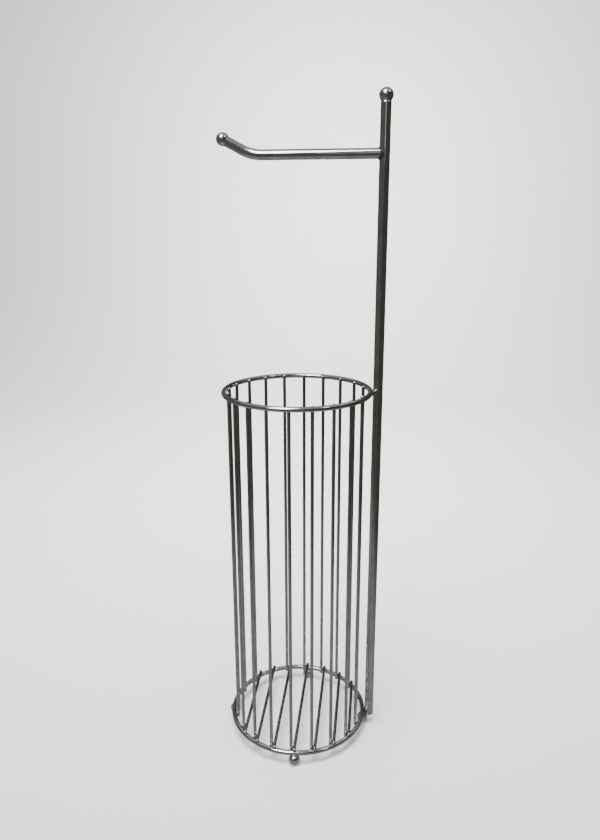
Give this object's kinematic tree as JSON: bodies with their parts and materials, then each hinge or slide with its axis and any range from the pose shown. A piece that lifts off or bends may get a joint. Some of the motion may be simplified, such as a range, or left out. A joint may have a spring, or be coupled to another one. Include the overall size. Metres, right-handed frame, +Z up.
{
  "type": "free-standing toilet roll holder",
  "caption": "Floor-standing toilet roll holder: a round wire basket on ball feet for spare rolls, with a post and an upturned arm for the roll in use.",
  "frame": {"origin": "on the basket's axis, at the height of the floor that the ball feet rest on", "axes": "+Z up along the basket's axis and the post, +X from the basket's axis towards the post (the arm points to -X), +Y towards the back foot"},
  "size_m": [0.1587, 0.151, 0.6339],
  "materials": {
    "ring_wire": "polished",
    "basket_wire": "polished",
    "tube": "polished, faint draw lines",
    "polished_ball": "bright polished",
    "weld": "plated weld bead"
  },
  "bodies": {
    "root": {"top_ring": "ring_wire", "bottom_ring": "ring_wire", "upright_01": "basket_wire", "upright_02": "basket_wire", "upright_03": "basket_wire", "upright_04": "basket_wire", "upright_05": "basket_wire", "upright_06": "basket_wire", "upright_07": "basket_wire", "upright_08": "basket_wire", "upright_09": "basket_wire", "upright_10": "basket_wire", "upright_11": "basket_wire", "upright_12": "basket_wire", "upright_13": "basket_wire", "upright_14": "basket_wire", "upright_15": "basket_wire", "upright_16": "basket_wire", "upright_17": "basket_wire", "upright_18": "basket_wire", "upright_19": "basket_wire", "floor_rod_1": "basket_wire", "floor_rod_2": "basket_wire", "floor_rod_3": "basket_wire", "floor_rod_4": "basket_wire", "floor_rod_5": "basket_wire", "floor_rod_6": "basket_wire", "floor_rod_7": "basket_wire", "foot_front": "polished_ball", "foot_back": "polished_ball", "foot_left": "polished_ball", "foot_right": "polished_ball", "post_tube": "tube", "post_finial": "polished_ball", "post_end_plug": "tube", "roll_arm": "tube", "arm_tip_ball": "polished_ball", "arm_weld": "weld", "top_ring_weld": "weld", "bottom_ring_weld": "weld"}
  },
  "joints": []
}
